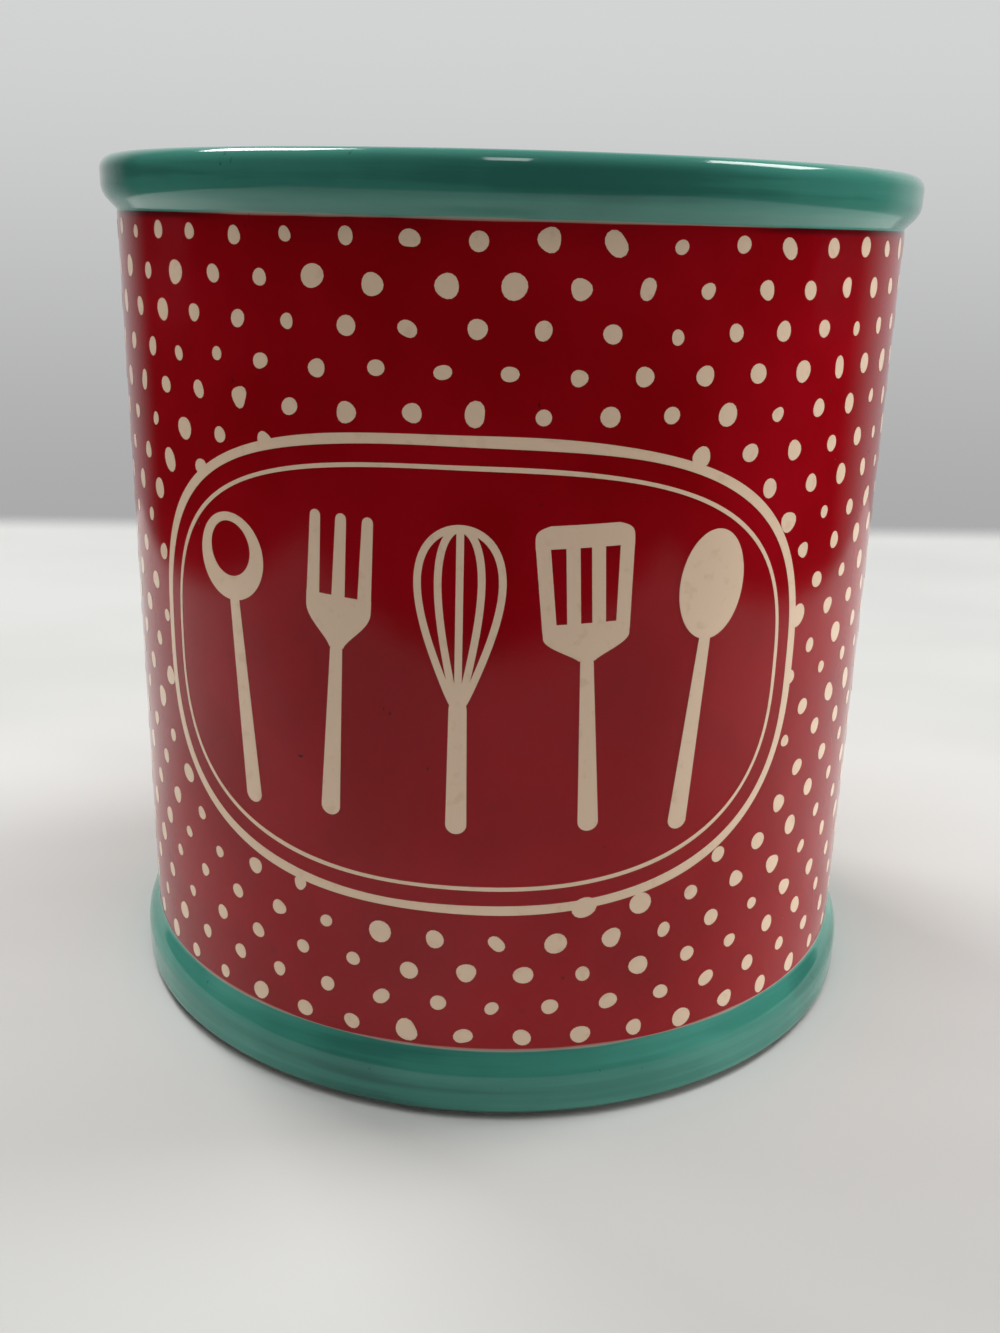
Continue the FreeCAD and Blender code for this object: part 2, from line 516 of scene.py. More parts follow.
@dataclass(frozen=True)
class TableCloth(Finish):
    """Pale cloth under the crock, lost in the haze of the backdrop at its edges."""

    near_edge: float = 0.0
    half_width: float = 0.0
    far_middle: float = 0.0
    far_slope: float = 0.0
    far_fade: float = 45 * MM
    near_fade: float = 60 * MM
    pale: Colour = (0.655, 0.665, 0.655)
    shade: Colour = (0.610, 0.620, 0.610)
    dim: Colour = (0.430, 0.440, 0.430)
    dim_beyond: float = -210 * MM
    pale_within: float = -115 * MM
    crease_scale: float = 5
    crease_stretch: Place = (1, 2, 1)
    crease_span: Span = (0.35, 0.65)
    crease_depth: float = 2.0 * MM
    roughness: float = 0.9

    def surface(self, tree: ShaderTree) -> Inputs:
        """Pale grey with very soft creases, dimmer towards the near edge, and faded edges.

        Args:
            tree: The material's tree.

        Returns:
            Inputs of the Principled shader.
        """
        crease = tree.noise(self.crease_scale, self.crease_stretch, 2)
        x, y = tree.axis("X"), tree.axis("Y")
        cloth = tree.mix(crease.step(*self.crease_span), self.shade, self.pale)
        far = (x * self.far_slope + self.far_middle - y).step(0, self.far_fade)
        near = (y - self.near_edge).step(0, self.near_fade)
        side = (self.half_width - x.maths("ABSOLUTE")).step(0, self.near_fade)
        return {
            "Alpha": far * near * side,
            # painted shade: the cloth darkens towards its near edge, where less light falls
            "Base Color": tree.mix(y.step(self.dim_beyond, self.pale_within), self.dim, cloth),
            "Roughness": self.roughness,
            "Normal": tree.ripple(crease, self.crease_depth),
        }


# Meshes


@dataclass
class Patchwork:
    """Arrays of one mesh in the making: points, faces, map places of the corners, and smooth marks."""

    points: list[Array] = field(default_factory=list)
    faces: list[list[int]] = field(default_factory=list)
    corners: list[Array] = field(default_factory=list)
    smooth: list[Array] = field(default_factory=list)
    count: int = 0

    def add_points(self, points: Array) -> int:
        """Add points.

        Args:
            points: Places in space, in any arrangement.

        Returns:
            The number of the first of them.
        """
        first = self.count
        self.points.append(points.reshape(-1, 3))
        self.count += len(self.points[-1])
        return first

    def add_faces(self, faces: Array, corners: Array, smooth: bool = True) -> None:
        """Add faces.

        Args:
            faces: Point numbers, one row for each face.
            corners: A map place for each corner of each face.
            smooth: Whether the faces are shaded smooth.
        """
        self.faces.extend(faces.tolist())
        self.corners.append(corners.reshape(-1, 2))
        self.smooth.append(np.full(len(faces), smooth))

    def piece(
        self, name: str, material: bpy.types.Material, slot: Slot, nodes: Sequence[str] = ()
    ) -> None:
        """Make the mesh object, fixed to the crock.

        Args:
            name: The piece's name.
            material: Its finish.
            slot: The record's slot that the finish belongs to; not used.
            nodes: Nodes of the frame that the piece stands for.
        """
        mesh = bpy.data.meshes.new(name)
        mesh.from_pydata(np.concatenate(self.points).tolist(), [], self.faces)
        corners = np.concatenate(self.corners).astype(np.float32)
        mesh.uv_layers.new(name=BAKE_MAP).data.foreach_set("uv", corners.ravel())
        mesh.polygons.foreach_set("use_smooth", np.concatenate(self.smooth))
        weld(mesh)
        sharpen(mesh)
        mesh.materials.append(material)
        piece = bpy.data.objects.new(name, mesh)
        bpy.context.collection.objects.link(piece)
        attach(piece, "root")
        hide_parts(*nodes)
        LOG.info("%s: %d points, %d faces", name, len(mesh.vertices), len(mesh.polygons))


def weld(mesh: bpy.types.Mesh) -> None:
    """Merge points that share a place, as those of a pole do.

    Args:
        mesh: The mesh to close.
    """
    work = bmesh.new()
    work.from_mesh(mesh)
    bmesh.ops.remove_doubles(work, verts=work.verts, dist=WELD_DISTANCE)
    work.to_mesh(mesh)
    work.free()
    mesh.update()


def sharpen(mesh: bpy.types.Mesh) -> None:
    """Mark the edges of flat-shaded faces as sharp, so that smooth faces beside them keep their normals.

    Args:
        mesh: The mesh to mark.
    """
    edges = np.empty(len(mesh.loops), np.int32)
    sizes = np.empty(len(mesh.polygons), np.int32)
    smooth = np.empty(len(mesh.polygons), bool)
    mesh.loops.foreach_get("edge_index", edges)
    mesh.polygons.foreach_get("loop_total", sizes)
    mesh.polygons.foreach_get("use_smooth", smooth)
    sharp = np.zeros(len(mesh.edges), bool)
    sharp[edges[np.repeat(~smooth, sizes)]] = True
    mesh.edges.foreach_set("use_edge_sharp", sharp)


def arc(centre: Place, radius: float, start: float, end: float, count: int) -> Array:
    """Points of a round stretch of a section.

    Each point is the centre plus the radius along a direction that turns evenly from start to end.

    Args:
        centre: Radius and height of the arc's centre.
        radius: The arc's radius.
        start: First direction, in degrees from outward towards up.
        end: Last direction.
        count: Number of points.

    Returns:
        One row of radius and height for each point.
    """
    turn = np.radians(np.linspace(start, end, count))
    return np.stack([centre[0] + radius * np.cos(turn), centre[1] + radius * np.sin(turn)], 1)


def straight(start: Place, end: Place, count: int) -> Array:
    """Evenly spaced points from start to end, without the two ends."""
    share = np.linspace(0, 1, count + 2)[1:-1, None]
    return np.asarray(start) * (1 - share) + np.asarray(end) * share


def skin(line: Array, thickness: float) -> Array:
    """Closed section of a coat.

    The section is the line of the coat's face, followed by the same line set back and run the other
    way. Each point is set back by the thickness, along the line's direction turned left.

    Args:
        line: Radius and height of each point of the face, against the clock round the crock's section.
        thickness: How far the back of the coat lies behind its face.

    Returns:
        Radius and height of each point of the section.
    """
    along = np.gradient(line, axis=0)
    along /= np.linalg.norm(along, axis=1, keepdims=True)
    back = line + thickness * np.stack([-along[:, 1], along[:, 0]], 1)
    back[:, 0] = np.maximum(back[:, 0], 0)
    return np.vstack([line, back[::-1]])


@dataclass(frozen=True)
class Waviness:
    """Faint unevenness of a fired surface, always inwards."""

    depth: float
    lobes: tuple[int, ...] = (3, 7, 16, 31)
    rise: float = 46.0
    phase: float = 1.7

    def __call__(self, turn: Array, height: Array) -> Array:
        """Change of radius: a mean of slow and quick waves round the crock that lean with the height.

        Args:
            turn: Angles about the axis.
            height: Heights.

        Returns:
            Values from minus the depth to 0.
        """
        leans = [(n, (n % 5 - 2) * self.rise) for n in self.lobes]
        waves = [np.sin(n * turn + lean * height + self.phase * n) for n, lean in leans]
        return self.depth * (np.mean(waves, axis=0) - 1) / 2


@dataclass(frozen=True)
class Shoulder:
    """The lean from the upright wall at a neck out to the widest point of the rim or the foot."""

    neck: Place
    widest: Place
    bulge_share: float
    cove_share: float
    steps: int = 9

    def line(self) -> Array:
        """Section points from the neck to the widest point.

        A hollow cove leaves the wall, a straight flank touches it and the round bulge, and the bulge
        ends upright at the widest point. The two radii are shares of the largest sum that leaves a
        flank.

        Returns:
            Radius and height of each point.
        """
        overhang = self.widest[0] - self.neck[0]
        rise = self.widest[1] - self.neck[1]
        largest = (rise * rise + overhang * overhang) / (2 * overhang)
        bulge, cove = largest * self.bulge_share, largest * self.cove_share
        between = bulge + cove - overhang
        lean = math.atan2(abs(rise), between) - math.acos((bulge + cove) / math.hypot(rise, between))
        turn = math.copysign(math.degrees(lean), rise)
        hollow = arc((self.neck[0] + cove, self.neck[1]), cove, 180, 180 - turn, self.steps)
        crown = arc((self.widest[0] - bulge, self.widest[1]), bulge, -turn, 0, self.steps)
        return np.vstack([hollow, straight(hollow[-1], crown[0], self.steps // 2), crown])


@dataclass(frozen=True)
class Coat:
    """A glaze coat: a skin turned about the crock's axis."""

    name: str
    node: str
    slot: Slot
    finish: Finish
    line: Array
    waviness: Waviness
    thickness: float
    segments: int = 360

    def build(self) -> None:
        """Turn the coat's section about the Z axis.

        A point of the grid at turn a and section place p stands at radius r(p) plus the waviness at
        a and z(p), in the direction a, at height z(p). The last column joins the first, and the last
        row the first, so the shell is closed. The two ends of the skin are shaded flat.
        """
        section = skin(self.line, self.thickness)
        count = len(section)
        turn = np.linspace(0, FULL_TURN, self.segments, endpoint=False)
        angle, radius = np.meshgrid(turn, section[:, 0], indexing="ij")
        height = np.broadcast_to(section[:, 1], angle.shape)
        radius = np.maximum(radius + self.waviness(angle, height), 0) * (radius > 0)
        column, row = np.meshgrid(np.arange(self.segments), np.arange(count), indexing="ij")
        beside, following = (column + 1) % self.segments, (row + 1) % count
        faces = np.stack([column * count + row, beside * count + row,
                          beside * count + following, column * count + following], -1)
        steps = np.linalg.norm(np.diff(section, axis=0, append=section[:1]), axis=1)
        along = np.concatenate([[0], np.cumsum(steps)]) / steps.sum()
        low, high = along[row], along[row + 1]
        left, right = column / self.segments, (column + 1) / self.segments
        corners = np.stack([left, low, right, low, right, high, left, high], -1)
        work = Patchwork()
        work.add_points(np.stack([radius * np.cos(angle), radius * np.sin(angle), height], -1))
        ends = np.isin(row, (len(self.line) - 1, count - 1))
        work.add_faces(faces[~ends], corners[~ends])
        work.add_faces(faces[ends], corners[ends], False)
        work.piece(self.name, self.finish.material(), self.slot, [self.node])


# The crock


@dataclass(frozen=True)
class CrockSizes:
    """Sizes of the crock, in metres, read off the frame, with the shares that shape rim and foot."""

    body_radius: float
    inner_radius: float
    rim_radius: float
    foot_radius: float
    height: float
    neck_level: float
    foot_level: float
    foot_lift: float
    floor_level: float
    lining_top: float
    floor_fillet: float = 8.0 * MM
    foot_lower_round: float = 1.6 * MM
    ring_setback: float = 1.2 * MM
    glaze: float = 0.4 * MM
    rim_edge_round: float = 2.6 * MM
    lip_round: float = 3.8 * MM
    rim_shoulder_share: float = 0.51
    rim_bulge_share: float = 0.78
    rim_cove_share: float = 0.13
    foot_face_share: float = 0.53
    foot_bulge_share: float = 0.76
    foot_cove_share: float = 0.15

    @classmethod
    def from_frame(cls) -> "CrockSizes":
        """Read the sizes off the boxes of the frame's nodes and off the record's bore.

        Returns:
            The sizes.
        """
        nodes = ("wall_glaze", "rim_glaze", "foot_glaze", "liner_glaze")
        wall, rim, foot, lining = (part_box(node) for node in nodes)
        bore = next(m for m in frame["record"]["mounts"] if m["kind"] == "bore")
        return cls(
            body_radius=wall[1].x, inner_radius=bore["dims"]["r_mm"] * MM,
            rim_radius=rim[1].x, foot_radius=foot[1].x,
            height=rim[1].z, neck_level=wall[1].z, foot_level=wall[0].z, foot_lift=foot[0].z,
            floor_level=lining[0].z + cls.glaze, lining_top=lining[1].z,
        )


@dataclass(frozen=True)
class Crock:
    """The crock's glaze coats, their backs settled a little into the clay, and the clay and base."""

    sizes: CrockSizes
    wall_waviness: Waviness = Waviness(0.03 * MM)
    edge_waviness: Waviness = Waviness(0.09 * MM)
    settle: float = 0.1 * MM
    lip_steps: int = 17
    face_steps: int = 5
    short_steps: int = 2
    wall_steps: int = 58
    foot_round_steps: int = 13
    fillet_steps: int = 15
    lining_steps: int = 30
    floor_steps: int = 20

    def rim_line(self) -> Array:
        """Face of the rim coat, from the neck out, up, over the round lip and down to its end inside.

        Returns:
            Radius and height of each point.
        """
        s = self.sizes
        widest = (s.rim_radius, s.neck_level + (s.height - s.neck_level) * s.rim_shoulder_share)
        shoulder = Shoulder((s.body_radius, s.neck_level), widest, s.rim_bulge_share, s.rim_cove_share)
        edge, lip = s.rim_edge_round, s.lip_round
        outer = arc((s.rim_radius - edge, s.height - edge), edge, 0, 90, self.lip_steps)
        inner = arc((s.inner_radius + lip, s.height - lip), lip, 90, 180, self.lip_steps)
        end = (s.inner_radius, s.lining_top)
        return np.vstack([
            shoulder.line(), straight(widest, outer[0], self.face_steps),
            outer, straight(outer[-1], inner[0], self.short_steps),
            inner, straight(inner[-1], end, self.short_steps), [end],
        ])

    def wall_line(self) -> Array:
        """Face of the wall coat, straight up.

        Returns:
            Radius and height of each point.
        """
        s = self.sizes
        low, high = (s.body_radius, s.foot_level), (s.body_radius, s.neck_level)
        return np.vstack([[low], straight(low, high, self.wall_steps), [high]])

    def foot_line(self) -> Array:
        """Face of the foot coat, from the bare ring out, round the lower edge and up to the neck.

        Returns:
            Radius and height of each point.
        """
        s = self.sizes
        flat, edge = s.foot_radius - s.foot_lower_round, s.foot_lower_round
        start = np.array([[flat - s.ring_setback, s.foot_lift]])
        turn = arc((flat, s.foot_lift + edge), edge, -90, 0, self.foot_round_steps)
        widest = (s.foot_radius, s.foot_level * s.foot_face_share)
        shoulder = Shoulder((s.body_radius, s.foot_level), widest, s.foot_bulge_share, s.foot_cove_share)
        face = straight(turn[-1], widest, self.face_steps)
        return np.vstack([start, turn, face, shoulder.line()[::-1]])

    def lining_line(self) -> Array:
        """Face of the lining, down the inside, round the fillet and along the floor to the axis.

        Returns:
            Radius and height of each point.
        """
        s = self.sizes
        fillet = s.floor_fillet
        top, middle = (s.inner_radius, s.lining_top), (0.0, s.floor_level)
        turn = arc((s.inner_radius - fillet, s.floor_level + fillet), fillet, 0, -90, self.fillet_steps)
        side = straight(top, turn[0], self.lining_steps)
        floor = straight(turn[-1], middle, self.floor_steps)
        return np.vstack([[top], side, turn, floor, [middle]])

    def coats(self) -> list[Coat]:
        """The coats that the scene turns afresh.

        Returns:
            Rim, wall, foot and lining.
        """
        s = self.sizes
        red = RedGlaze("red_glaze", low_edge=s.foot_level, high_edge=s.neck_level)
        rim_teal = TealGlaze("rim_teal", edge=s.neck_level, crest=s.height, thickness=0.035, gloss=0.46,
                             neck_light_share=0.5)
        foot_teal = TealGlaze("foot_teal", thick_within=-MM, thin_beyond=0.0, edge=s.foot_level,
                              lower_edge=s.foot_lift, cloud_shift=70 * MM, line_share=0.55)
        cream = CreamGlaze("cream_glaze")
        wall, edge, depth = self.wall_waviness, self.edge_waviness, s.glaze + self.settle
        return [
            Coat("rim_coat", "rim_glaze", Slot.TEAL, rim_teal, self.rim_line(), edge, depth),
            Coat("wall_coat", "wall_glaze", Slot.RED, red, self.wall_line(), wall, depth),
            Coat("foot_coat", "foot_glaze", Slot.TEAL, foot_teal, self.foot_line(), edge, depth),
            Coat("lining_coat", "liner_glaze", Slot.CREAM, cream, self.lining_line(), wall, depth),
        ]

    def dress(self, node: str, finish: Finish) -> None:
        """Give a node of the frame that shows as it is its finish.

        Args:
            node: The node's name.
            finish: The finish.
        """
        piece = frame["nodes"][node]
        piece.data.materials.clear()
        piece.data.materials.append(finish.material())
        LOG.info("%s: the frame's own mesh", node)

    def build(self) -> None:
        """Turn the coats and dress the clay and the base."""
        for coat in self.coats():
            coat.build()
        self.dress("stoneware_body", BareClay("bare_clay"))
        self.dress("base_glaze", CreamGlaze("base_cream"))


# Paint on the wall


@dataclass(frozen=True)
class PaintedWall:
    """The wall that the dots and the front are painted on."""

    radius: float
    waviness: Waviness
    sink: float = 0.05 * MM

    def wrap(self, across: Array, up: Array, lift: float) -> Array:
        """Lay a drawing round the wall.

        A point at arc length x and height z goes to radius R + waviness + lift in the direction that
        lies x / R round from the front, which faces minus Y.

        Args:
            across: Arc lengths from the middle of the front, positive to the right.
            up: Heights above the table.
            lift: Distance outwards from the glaze.

        Returns:
            Places in space.
        """
        turn = across / self.radius - math.pi / 2
        radius = self.radius + self.waviness(turn, up) + lift
        return np.stack([radius * np.cos(turn), radius * np.sin(turn), up + 0 * turn], -1)


@dataclass(frozen=True)
class Panel:
    """The undotted panel at the front, with rounded sides, and its outline."""

    level: float = 83.0 * MM
    half_width: float = 64.0 * MM
    half_height: float = 41.0 * MM
    power: float = 2.7
    count: int = 360
    samples: int = 2880

    def outline(self, inset: float = 0.0) -> Array:
        """Points of the outline, evenly spaced.

        The outline is where the sum of |x / a| and |y / b|, each to the given power, is 1. It is measured
        on close samples, and its points are set out along their length.

        Args:
            inset: Distance by which the half width and half height shrink.

        Returns:
            One row of arc length and height above the panel's middle for each point, against the clock.
        """
        turn = np.linspace(0, FULL_TURN, self.samples)
        cos, sin = np.cos(turn), np.sin(turn)
        across = (self.half_width - inset) * np.sign(cos) * np.abs(cos) ** (2 / self.power)
        up = (self.half_height - inset) * np.sign(sin) * np.abs(sin) ** (2 / self.power)
        length = np.concatenate([[0], np.cumsum(np.hypot(np.diff(across), np.diff(up)))])
        even = np.linspace(0, length[-1], self.count, endpoint=False)
        return np.stack([np.interp(even, length, across), np.interp(even, length, up)], 1)

    def clearance(self, across: Array, up: Array) -> Array:
        """Distance of points from the outline, negative inside it.

        Args:
            across: Arc lengths from the middle of the front.
            up: Heights above the table.

        Returns:
            One distance for each point.
        """
        line = self.outline()
        y = up - self.level
        gap = np.hypot(across[:, None] - line[:, 0], y[:, None] - line[:, 1]).min(1)
        x_share, y_share = np.abs(across / self.half_width), np.abs(y / self.half_height)
        inside = x_share**self.power + y_share**self.power < 1
        return np.where(inside, -gap, gap)


@dataclass(frozen=True)
class DotPattern:
    """Rows of cream dots round the wall, set by hand, so no two are quite alike."""

    wall: PaintedWall
    panel: Panel
    low_row: float = 16.2 * MM
    high_row: float = 153.9 * MM
    rows: int = 23
    per_row: int = 46
    first_turn: float = math.radians(9.4)
    row_spread: float = 0.045
    size: float = 3.1 * MM
    size_spread: float = 0.5 * MM
    smallest: float = 2.3 * MM
    largest: float = 4.3 * MM
    stray: float = 0.22 * MM
    oval: float = 0.07
    lump: float = 0.035
    keep_off: float = 0.8 * MM
    sides: int = 16
    lift: float = 0.04 * MM
    map_radius: float = 0.42
    seed: int = 11

    def build(self, material: bpy.types.Material) -> None:
        """Set the dots out and make them one piece.

        Row k stands at a share of the height that is k over the last row, plus a slow wave that opens
        the rows towards rim and foot, and every other row is moved on by half a step. A dot's edge at
        angle t has the radius s / 2 times 1 + o cos(2 t + p) + l cos(3 t + q). Its top is a fan that
        follows the wall, its side goes down into the glaze, and its back is one face.

        Args:
            material: The paint.
        """
        chance = np.random.default_rng(self.seed)
        grids = np.meshgrid(np.arange(self.rows), np.arange(self.per_row), indexing="ij")
        row, column = (grid.ravel() for grid in grids)
        share = row / (self.rows - 1)
        share = share + self.row_spread * np.sin(FULL_TURN * share) / FULL_TURN
        up = self.low_row + (self.high_row - self.low_row) * share
        turn = self.first_turn + FULL_TURN / self.per_row * (column + 0.5 * (row % 2))
        turn = (turn + math.pi) % FULL_TURN - math.pi
        count = len(turn)
        across = turn * self.wall.radius + chance.normal(0, self.stray, count)
        up = up + chance.normal(0, self.stray, count)
        size = np.clip(chance.normal(self.size, self.size_spread, count), self.smallest, self.largest)
        oval, lump = chance.normal(0, self.oval, count), chance.normal(0, self.lump, count)
        first_phase, second_phase = chance.uniform(0, FULL_TURN, (2, count))
        kept = self.panel.clearance(across, up) > self.keep_off
        angle = np.linspace(0, FULL_TURN, self.sides, endpoint=False)
        edge = 1 + oval[:, None] * np.cos(2 * angle + first_phase[:, None])
        edge = edge + lump[:, None] * np.cos(3 * angle + second_phase[:, None])
        reach = (size[:, None] / 2 * edge)[kept]
        across, up = across[kept, None], up[kept, None]
        edge_across, edge_up = across + reach * np.cos(angle), up + reach * np.sin(angle)
        top = self.wall.wrap(edge_across, edge_up, self.lift)
        foot = self.wall.wrap(edge_across, edge_up, -self.wall.sink)
        middle = self.wall.wrap(across, up, self.lift)
        work = self.assemble(np.concatenate([middle, top, foot], 1))
        work.piece("painted_dots", material, Slot.CREAM)

    def assemble(self, points: Array) -> Patchwork:
        """Join the dots' points into closed shells.

        Args:
            points: For each dot its middle, the ring of its top edge and the ring of its foot.

        Returns:
            The mesh in the making.
        """
        work = Patchwork()
        count, n = len(points), self.sides
        first = work.add_points(points) + np.arange(count)[:, None, None] * (2 * n + 1)
        ring = np.arange(n)
        after = (ring + 1) % n
        fan = np.stack([0 * ring, 1 + ring, 1 + after], -1)
        side = np.stack([1 + ring, 1 + n + ring, 1 + n + after, 1 + after], -1)
        back = (2 * n - ring)[None]
        grid = math.ceil(math.sqrt(count))
        cell = np.stack([np.arange(count) % grid, np.arange(count) // grid], -1)
        angle = FULL_TURN * ring / n
        rim = 0.5 + self.map_radius * np.stack([np.cos(angle), np.sin(angle)], -1)
        place = np.concatenate([[[0.5, 0.5]], rim, rim])
        for faces, smooth in ((fan, True), (side, False), (back, False)):
            corners = (cell[:, None, None] + place[faces]) / grid
            work.add_faces((first + faces).reshape(-1, faces.shape[-1]), corners, smooth)
        return work


@dataclass(frozen=True)
class Stroke:
    """The two edges of a brush stroke, and whether it closes on itself."""

    left: Array
    right: Array
    closed: bool = False


def brushed(path: Array, width: Array) -> Stroke:
    """A brush stroke along a path.

    Each edge is the path moved sideways by half the width, along the path's direction turned left or
    right. Close to an end, at a distance d along the path, the half width is held below the root of
    r r - (r - d)(r - d), with r the half width at that end, which rounds the end.

    Args:
        path: Points along the middle of the stroke.
        width: Width at each point.

    Returns:
        The stroke.
    """
    along = np.gradient(path, axis=0)
    along /= np.linalg.norm(along, axis=1, keepdims=True)
    left = np.stack([-along[:, 1], along[:, 0]], 1)
    length = np.concatenate([[0], np.cumsum(np.linalg.norm(np.diff(path, axis=0), axis=1))])
    half = width / 2
    for end, distance in ((half[0], length), (half[-1], length[-1] - length)):
        inside = np.clip(distance, 0, end)
        half = np.minimum(half, np.where(distance < end, np.sqrt(end**2 - (end - inside) ** 2), half))
    return Stroke(path + left * half[:, None], path - left * half[:, None])


def looped(path: Array, width: Array) -> Stroke:
    """A brush stroke that closes on itself: the path moved sideways by half the width, to both sides.

    Args:
        path: Points along the middle of the stroke.
        width: Width at each point.

    Returns:
        The stroke.
    """
    along = np.roll(path, -1, 0) - np.roll(path, 1, 0)
    along /= np.linalg.norm(along, axis=1, keepdims=True)
    left = np.stack([-along[:, 1], along[:, 0]], 1) * width[:, None] / 2
    return Stroke(path + left, path - left, True)


def eased(count: int) -> Array:
    """Shares from 0 to 1 that crowd towards both ends: (1 - cos t) / 2 for t from 0 to half a turn."""
    return (1 - np.cos(np.linspace(0, math.pi, count))) / 2


@dataclass(frozen=True)
class ToolDrawing:
    """A kitchen tool in brush strokes, upright about its own middle, in millimetres."""

    place: tuple[float, float]
    tilt: float
    half_height: float = 27.0
    handle_top: float = 5.0
    slim: float = 2.2
    stout: float = 3.7
    tip: float = 0.015
    count: int = 40
    loop_count: int = 120

    def upright(self, x: float, low: float, high: float, first: float, last: float) -> Stroke:
        """An upright stroke whose width changes evenly.

        Args:
            x: Its place across.
            low: Its lower end.
            high: Its upper end.
            first: Width at the lower end.
            last: Width at the upper end.

        Returns:
            The stroke.
        """
        share = eased(self.count)
        path = np.stack([np.full(self.count, x), low + (high - low) * share], 1)
        return brushed(path, first + (last - first) * share)

    def filled(self, low: float, high: float, half: Array) -> Stroke:
        """A filled form about the upright axis.

        Args:
            low: Its lower end.
            high: Its upper end.
            half: Its half width at eased shares of its height.

        Returns:
            The form, as one wide stroke.
        """
        reach = np.maximum(half, self.tip)
        up = low + (high - low) * eased(self.count)
        return Stroke(np.stack([-reach, up], 1), np.stack([reach, up], 1))

    def handle(self) -> Stroke:
        """The handle, stouter towards its lower end."""
        return self.upright(0, -self.half_height, self.handle_top, self.stout, self.slim)

    def drawn(self) -> list[Stroke]:
        """The upright tool's strokes; each kind of tool draws its own."""
        raise NotImplementedError

    def strokes(self) -> list[Stroke]:
        """The tool's strokes, tilted and moved to its place, in metres.

        Returns:
            The strokes.
        """
        lean = math.radians(self.tilt)
        turn = np.array([[math.cos(lean), math.sin(lean)], [-math.sin(lean), math.cos(lean)]])
        placed = []
        for stroke in self.drawn():
            left, right = ((edge @ turn + self.place) * MM for edge in (stroke.left, stroke.right))
            placed.append(Stroke(left, right, stroke.closed))
        return placed


@dataclass(frozen=True)
class Ladle(ToolDrawing):
    """A round bowl, drawn as a ring that is heavy below, on a handle."""

    handle_top: float = 12.6
    bowl_radius: float = 6.3
    bowl_level: float = 19.0
    ring_width: float = 2.9
    ring_swell: float = 1.4

    def drawn(self) -> list[Stroke]:
        """The ring, whose width falls with the sine of the turn, and the handle.

        Returns:
            The strokes.
        """
        turn = np.linspace(0, FULL_TURN, self.loop_count, endpoint=False)
        across, up = self.bowl_radius * np.cos(turn), self.bowl_level + self.bowl_radius * np.sin(turn)
        ring = looped(np.stack([across, up], 1), self.ring_width - self.ring_swell * np.sin(turn))
        return [ring, self.handle()]


@dataclass(frozen=True)
class Spoon(ToolDrawing):
    """An oval bowl on a handle."""

    handle_top: float = 9.0
    bowl_foot: float = 8.0
    bowl_half: float = 6.4

    def drawn(self) -> list[Stroke]:
        """The bowl, an ellipse, and the handle."""
        half = self.bowl_half * np.sqrt(1 - (2 * eased(self.count) - 1) ** 2)
        return [self.filled(self.bowl_foot, self.half_height, half), self.handle()]


@dataclass(frozen=True)
class Whisk(ToolDrawing):
    """Two wire loops and a middle wire, drawn together where they enter the handle."""

    handle_top: float = -2.5
    slim: float = 3.0
    wire: float = 1.25
    wire_foot: float = -4.0
    wire_top: float = 26.4
    loop_top: float = 26.5
    loop_reaches: tuple[float, ...] = (8.2, 4.2)
    root_share: float = 0.3
    spread_share: float = 0.9

    def drawn(self) -> list[Stroke]:
        """The loops, the middle wire and the handle.

        A loop climbs by (1 - cos t) / 2 and reaches out by sin t, less at its root than at its top.

        Returns:
            The strokes.
        """
        turn = FULL_TURN * eased(self.loop_count)
        climb = (1 - np.cos(turn)) / 2
        up = self.wire_foot + (self.loop_top - self.wire_foot) * climb
        out = np.sin(turn) * (self.root_share + self.spread_share * climb)
        width = np.full(self.loop_count, self.wire)
        loops = [brushed(np.stack([reach * out, up], 1), width) for reach in self.loop_reaches]
        middle = self.upright(0, self.wire_foot, self.wire_top, self.wire, self.wire)
        return [*loops, middle, self.handle()]


@dataclass(frozen=True)
class RootedTool(ToolDrawing):
    """A tool whose head opens from the handle in a shaped root."""

    root_foot: float = 4.0
    root_top: float = 13.0
    root_neck: float = 1.3
    root_spread: float = 4.7
    root_haste: float = 1.3
    root_power: float = 1.4

    def root(self) -> Stroke:
        """The root, which widens by a power of a sine and is at its widest before its top.

        Returns:
            The root, as one wide stroke.
        """
        share = np.minimum(1, self.root_haste * eased(self.count))
        half = self.root_neck + self.root_spread * np.sin(math.pi / 2 * share) ** self.root_power
        return self.filled(self.root_foot, self.root_top, half)


@dataclass(frozen=True)
class Fork(RootedTool):
    """Three tines on a shaped root and a handle."""

    tine_foot: float = 10.5
    tine_pitch: float = 4.75
    tine_width: float = 2.5
    tine_tip: float = 1.9

    def drawn(self) -> list[Stroke]:
        """The root, the tines and the handle.

        Returns:
            The strokes.
        """
        low, high = self.tine_foot, self.half_height
        tines = [self.upright(x, low, high, self.tine_width, self.tine_tip)
                 for x in (-self.tine_pitch, 0, self.tine_pitch)]
        return [self.root(), *tines, self.handle()]


